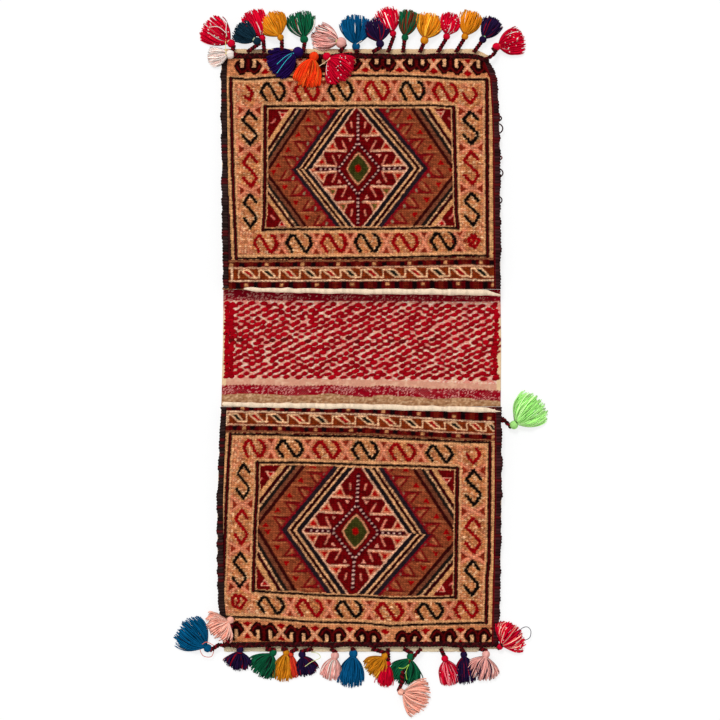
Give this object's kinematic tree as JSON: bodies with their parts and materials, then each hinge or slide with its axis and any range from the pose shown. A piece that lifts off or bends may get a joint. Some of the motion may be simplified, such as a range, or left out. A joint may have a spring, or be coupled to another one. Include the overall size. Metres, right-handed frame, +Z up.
{
  "type": "double saddle bag",
  "caption": "Woven double saddle bag: two flat pouches joined by a bridge, mouths facing each other, with yarn tassels along both closed ends.",
  "frame": {"origin": "middle of the bridge's underside, where the bag lies over a saddle", "axes": "+Y along the bag towards the upper pouch, +X across it, +Z up out of the decorated faces"},
  "size_m": [0.5637, 1.071, 0.0327],
  "materials": {
    "braid_wool": "dark braided cord",
    "hem_wool": "rolled cream plain weave",
    "plain_wool": "plain cream and grey-beige weave",
    "soumak_wool": "soumak weave in red, brown, charcoal and tan wool",
    "weft_float_wool": "red weft floats on a pink and cream ground",
    "whip_stitch_wool": "dark whip stitches",
    "yarn_cerulean": "loose wool yarn",
    "yarn_crimson": "loose wool yarn",
    "yarn_dusty_pink": "loose wool yarn",
    "yarn_gold": "loose wool yarn",
    "yarn_green": "loose wool yarn",
    "yarn_lime": "loose wool yarn",
    "yarn_navy": "loose wool yarn",
    "yarn_orange": "loose wool yarn",
    "yarn_salmon": "loose wool yarn",
    "yarn_teal": "loose wool yarn",
    "yarn_white_pink": "loose wool yarn"
  },
  "bodies": {
    "bridge": {"bridge_cloth": "weft_float_wool"},
    "upper_pouch": {"upper_back_cloth": "plain_wool", "upper_left_seam": "whip_stitch_wool", "upper_right_seam": "whip_stitch_wool", "upper_end_braid": "braid_wool"},
    "upper_face": {"upper_front_panel": "soumak_wool", "upper_mouth_hem": "hem_wool"},
    "lower_pouch": {"lower_back_cloth": "plain_wool", "lower_left_seam": "whip_stitch_wool", "lower_right_seam": "whip_stitch_wool", "lower_end_braid": "braid_wool"},
    "lower_face": {"lower_front_panel": "soumak_wool", "lower_mouth_hem": "hem_wool"},
    "tassel_lower_01": {"lower_tassel_01_navy": "yarn_navy"},
    "tassel_lower_02": {"lower_tassel_02_green": "yarn_green"},
    "tassel_lower_03": {"lower_tassel_03_gold": "yarn_gold"},
    "tassel_lower_04": {"lower_tassel_04_crimson": "yarn_crimson"},
    "tassel_lower_05": {"lower_tassel_05_navy": "yarn_navy"},
    "tassel_lower_06": {"lower_tassel_06_dusty_pink": "yarn_dusty_pink"},
    "tassel_lower_07": {"lower_tassel_07_cerulean": "yarn_cerulean"},
    "tassel_lower_08": {"lower_tassel_08_gold": "yarn_gold"},
    "tassel_lower_09": {"lower_tassel_09_crimson": "yarn_crimson"},
    "tassel_lower_10": {"lower_tassel_10_green": "yarn_green"},
    "tassel_lower_11": {"lower_tassel_11_salmon": "yarn_salmon"},
    "tassel_lower_12": {"lower_tassel_12_crimson": "yarn_crimson"},
    "tassel_lower_13": {"lower_tassel_13_navy": "yarn_navy"},
    "tassel_lower_14": {"lower_tassel_14_dusty_pink": "yarn_dusty_pink"},
    "tassel_lower_15": {"lower_tassel_15_salmon": "yarn_salmon"},
    "tassel_lower_16": {"lower_tassel_16_teal": "yarn_teal"},
    "tassel_lower_17": {"lower_tassel_17_crimson": "yarn_crimson"},
    "tassel_lower_18": {"lower_tassel_18_lime": "yarn_lime"},
    "tassel_upper_01": {"upper_tassel_01_crimson": "yarn_crimson"},
    "tassel_upper_02": {"upper_tassel_02_teal": "yarn_teal"},
    "tassel_upper_03": {"upper_tassel_03_crimson": "yarn_crimson"},
    "tassel_upper_04": {"upper_tassel_04_gold": "yarn_gold"},
    "tassel_upper_05": {"upper_tassel_05_green": "yarn_green"},
    "tassel_upper_06": {"upper_tassel_06_dusty_pink": "yarn_dusty_pink"},
    "tassel_upper_07": {"upper_tassel_07_cerulean": "yarn_cerulean"},
    "tassel_upper_08": {"upper_tassel_08_navy": "yarn_navy"},
    "tassel_upper_09": {"upper_tassel_09_crimson": "yarn_crimson"},
    "tassel_upper_10": {"upper_tassel_10_green": "yarn_green"},
    "tassel_upper_11": {"upper_tassel_11_gold": "yarn_gold"},
    "tassel_upper_12": {"upper_tassel_12_crimson": "yarn_crimson"},
    "tassel_upper_13": {"upper_tassel_13_gold": "yarn_gold"},
    "tassel_upper_14": {"upper_tassel_14_navy": "yarn_navy"},
    "tassel_upper_15": {"upper_tassel_15_crimson": "yarn_crimson"},
    "tassel_upper_16": {"upper_tassel_16_white_pink": "yarn_white_pink"},
    "tassel_upper_17": {"upper_tassel_17_navy": "yarn_navy"},
    "tassel_upper_18": {"upper_tassel_18_orange": "yarn_orange"},
    "tassel_upper_19": {"upper_tassel_19_crimson": "yarn_crimson"}
  },
  "joints": [
    {"name": "fold_upper", "type": "hinge", "parent": "bridge", "child": "upper_pouch", "pos_m": [0, 0.039, 0.0015], "axis": [-1, 0, 0], "range_deg": [-90, 90]},
    {"name": "mouth_upper", "type": "hinge", "parent": "upper_pouch", "child": "upper_face", "pos_m": [0, 0.438, 0.0073], "axis": [-1, 0, 0], "range_deg": [0, 8]},
    {"name": "fold_lower", "type": "hinge", "parent": "bridge", "child": "lower_pouch", "pos_m": [0, -0.039, 0.0015], "axis": [1, 0, 0], "range_deg": [-90, 90]},
    {"name": "mouth_lower", "type": "hinge", "parent": "lower_pouch", "child": "lower_face", "pos_m": [0, -0.4451, 0.0073], "axis": [1, 0, 0], "range_deg": [0, 8]},
    {"name": "swing_lower_01", "type": "hinge", "parent": "lower_pouch", "child": "tassel_lower_01", "pos_m": [-0.18438, -0.45138, 0.00898], "axis": [-0.9994, -0.0349, 0], "range_deg": [-15, 60]},
    {"name": "swing_lower_02", "type": "hinge", "parent": "lower_pouch", "child": "tassel_lower_02", "pos_m": [-0.14238, -0.45138, 0.00898], "axis": [-0.9703, 0.2419, 0], "range_deg": [-15, 60]},
    {"name": "swing_lower_03", "type": "hinge", "parent": "lower_pouch", "child": "tassel_lower_03", "pos_m": [-0.11844, -0.45138, 0.00898], "axis": [-0.9994, 0.0349, 0], "range_deg": [-15, 60]},
    {"name": "swing_lower_04", "type": "hinge", "parent": "lower_pouch", "child": "tassel_lower_04", "pos_m": [-0.09597, -0.45138, 0.00898], "axis": [-1, 0, 0], "range_deg": [-15, 60]},
    {"name": "swing_lower_05", "type": "hinge", "parent": "lower_pouch", "child": "tassel_lower_05", "pos_m": [-0.0735, -0.45138, 0.00898], "axis": [-0.9998, 0.0175, 0], "range_deg": [-15, 60]},
    {"name": "swing_lower_06", "type": "hinge", "parent": "lower_pouch", "child": "tassel_lower_06", "pos_m": [-0.04494, -0.45138, 0.00898], "axis": [-1, 0, 0], "range_deg": [-15, 60]},
    {"name": "swing_lower_07", "type": "hinge", "parent": "lower_pouch", "child": "tassel_lower_07", "pos_m": [-0.01344, -0.45138, 0.00898], "axis": [-1, 0, 0], "range_deg": [-15, 60]},
    {"name": "swing_lower_08", "type": "hinge", "parent": "lower_pouch", "child": "tassel_lower_08", "pos_m": [0.01638, -0.45138, 0.00898], "axis": [-1, 0, 0], "range_deg": [-15, 60]},
    {"name": "swing_lower_09", "type": "hinge", "parent": "lower_pouch", "child": "tassel_lower_09", "pos_m": [0.04053, -0.45138, 0.00898], "axis": [-1, 0, 0], "range_deg": [-15, 60]},
    {"name": "swing_lower_10", "type": "hinge", "parent": "lower_pouch", "child": "tassel_lower_10", "pos_m": [0.06447, -0.45138, 0.00898], "axis": [-1, 0, 0], "range_deg": [-15, 60]},
    {"name": "swing_lower_11", "type": "hinge", "parent": "lower_pouch", "child": "tassel_lower_11", "pos_m": [0.08988, -0.45138, 0.00898], "axis": [-0.9986, 0.0523, 0], "range_deg": [-15, 60]},
    {"name": "swing_lower_12", "type": "hinge", "parent": "lower_pouch", "child": "tassel_lower_12", "pos_m": [0.11991, -0.45138, 0.00898], "axis": [-0.9703, -0.2419, 0], "range_deg": [-15, 60]},
    {"name": "swing_lower_13", "type": "hinge", "parent": "lower_pouch", "child": "tassel_lower_13", "pos_m": [0.14994, -0.45138, 0.00898], "axis": [-0.9781, -0.2079, 0], "range_deg": [-15, 60]},
    {"name": "swing_lower_14", "type": "hinge", "parent": "lower_pouch", "child": "tassel_lower_14", "pos_m": [0.1785, -0.45138, 0.00898], "axis": [-0.9848, -0.1736, 0], "range_deg": [-15, 60]},
    {"name": "swing_lower_15", "type": "hinge", "parent": "lower_pouch", "child": "tassel_lower_15", "pos_m": [-0.20097, -0.4451, 0.0138], "axis": [0.9816, 0.1908, 0], "range_deg": [0, 60]},
    {"name": "swing_lower_16", "type": "hinge", "parent": "lower_pouch", "child": "tassel_lower_16", "pos_m": [-0.2125, -0.4451, 0.0073], "axis": [0.454, 0.891, 0], "range_deg": [-15, 60]},
    {"name": "swing_lower_17", "type": "hinge", "parent": "lower_pouch", "child": "tassel_lower_17", "pos_m": [0.2125, -0.4451, 0.0073], "axis": [0, -1, 0], "range_deg": [-15, 60]},
    {"name": "swing_lower_18", "type": "hinge", "parent": "lower_pouch", "child": "tassel_lower_18", "pos_m": [0.2125, -0.1095, 0.0113], "axis": [0.4848, -0.8746, 0], "range_deg": [-15, 60]},
    {"name": "swing_upper_01", "type": "hinge", "parent": "upper_pouch", "child": "tassel_upper_01", "pos_m": [-0.19362, 0.44428, 0.00898], "axis": [0.8387, 0.5446, 0], "range_deg": [-15, 60]},
    {"name": "swing_upper_02", "type": "hinge", "parent": "upper_pouch", "child": "tassel_upper_02", "pos_m": [-0.1701, 0.44428, 0.00898], "axis": [0.9903, 0.1392, 0], "range_deg": [-15, 60]},
    {"name": "swing_upper_03", "type": "hinge", "parent": "upper_pouch", "child": "tassel_upper_03", "pos_m": [-0.14532, 0.44428, 0.00898], "axis": [0.9781, 0.2079, 0], "range_deg": [-15, 60]},
    {"name": "swing_upper_04", "type": "hinge", "parent": "upper_pouch", "child": "tassel_upper_04", "pos_m": [-0.11844, 0.44428, 0.00898], "axis": [0.9744, 0.225, 0], "range_deg": [-15, 60]},
    {"name": "swing_upper_05", "type": "hinge", "parent": "upper_pouch", "child": "tassel_upper_05", "pos_m": [-0.08694, 0.44428, 0.00898], "axis": [0.9962, 0.0872, 0], "range_deg": [-15, 60]},
    {"name": "swing_upper_06", "type": "hinge", "parent": "upper_pouch", "child": "tassel_upper_06", "pos_m": [-0.0315, 0.44428, 0.00898], "axis": [0.766, 0.6428, 0], "range_deg": [-15, 60]},
    {"name": "swing_upper_07", "type": "hinge", "parent": "upper_pouch", "child": "tassel_upper_07", "pos_m": [-0.00588, 0.44428, 0.00898], "axis": [0.9976, 0.0698, 0], "range_deg": [-15, 60]},
    {"name": "swing_upper_08", "type": "hinge", "parent": "upper_pouch", "child": "tassel_upper_08", "pos_m": [0.01785, 0.44428, 0.00898], "axis": [0.9994, -0.0349, 0], "range_deg": [-15, 60]},
    {"name": "swing_upper_09", "type": "hinge", "parent": "upper_pouch", "child": "tassel_upper_09", "pos_m": [0.04053, 0.44428, 0.00898], "axis": [0.9976, -0.0698, 0], "range_deg": [-15, 60]},
    {"name": "swing_upper_10", "type": "hinge", "parent": "upper_pouch", "child": "tassel_upper_10", "pos_m": [0.063, 0.44428, 0.00898], "axis": [0.9877, -0.1564, 0], "range_deg": [-15, 60]},
    {"name": "swing_upper_11", "type": "hinge", "parent": "upper_pouch", "child": "tassel_upper_11", "pos_m": [0.08841, 0.44428, 0.00898], "axis": [0.9455, -0.3256, 0], "range_deg": [-15, 60]},
    {"name": "swing_upper_12", "type": "hinge", "parent": "upper_pouch", "child": "tassel_upper_12", "pos_m": [0.1155, 0.44428, 0.00898], "axis": [0.9135, -0.4067, 0], "range_deg": [-15, 60]},
    {"name": "swing_upper_13", "type": "hinge", "parent": "upper_pouch", "child": "tassel_upper_13", "pos_m": [0.14238, 0.44428, 0.00898], "axis": [0.8829, -0.4695, 0], "range_deg": [-15, 60]},
    {"name": "swing_upper_14", "type": "hinge", "parent": "upper_pouch", "child": "tassel_upper_14", "pos_m": [0.16947, 0.44428, 0.00898], "axis": [0.829, -0.5592, 0], "range_deg": [-15, 60]},
    {"name": "swing_upper_15", "type": "hinge", "parent": "upper_pouch", "child": "tassel_upper_15", "pos_m": [0.20244, 0.44428, 0.00898], "axis": [0.5592, -0.829, 0], "range_deg": [-15, 60]},
    {"name": "swing_upper_16", "type": "hinge", "parent": "upper_pouch", "child": "tassel_upper_16", "pos_m": [-0.18438, 0.438, 0.0138], "axis": [-0.1219, 0.9925, 0], "range_deg": [0, 60]},
    {"name": "swing_upper_17", "type": "hinge", "parent": "upper_face", "child": "tassel_upper_17", "pos_m": [-0.0945, 0.438, 0.0138], "axis": [-0.5446, 0.8387, 0], "range_deg": [0, 60]},
    {"name": "swing_upper_18", "type": "hinge", "parent": "upper_face", "child": "tassel_upper_18", "pos_m": [-0.07035, 0.438, 0.0138], "axis": [-0.9336, 0.3584, 0], "range_deg": [0, 60]},
    {"name": "swing_upper_19", "type": "hinge", "parent": "upper_face", "child": "tassel_upper_19", "pos_m": [-0.04788, 0.438, 0.0138], "axis": [-0.7986, -0.6018, 0], "range_deg": [0, 60]}
  ]
}
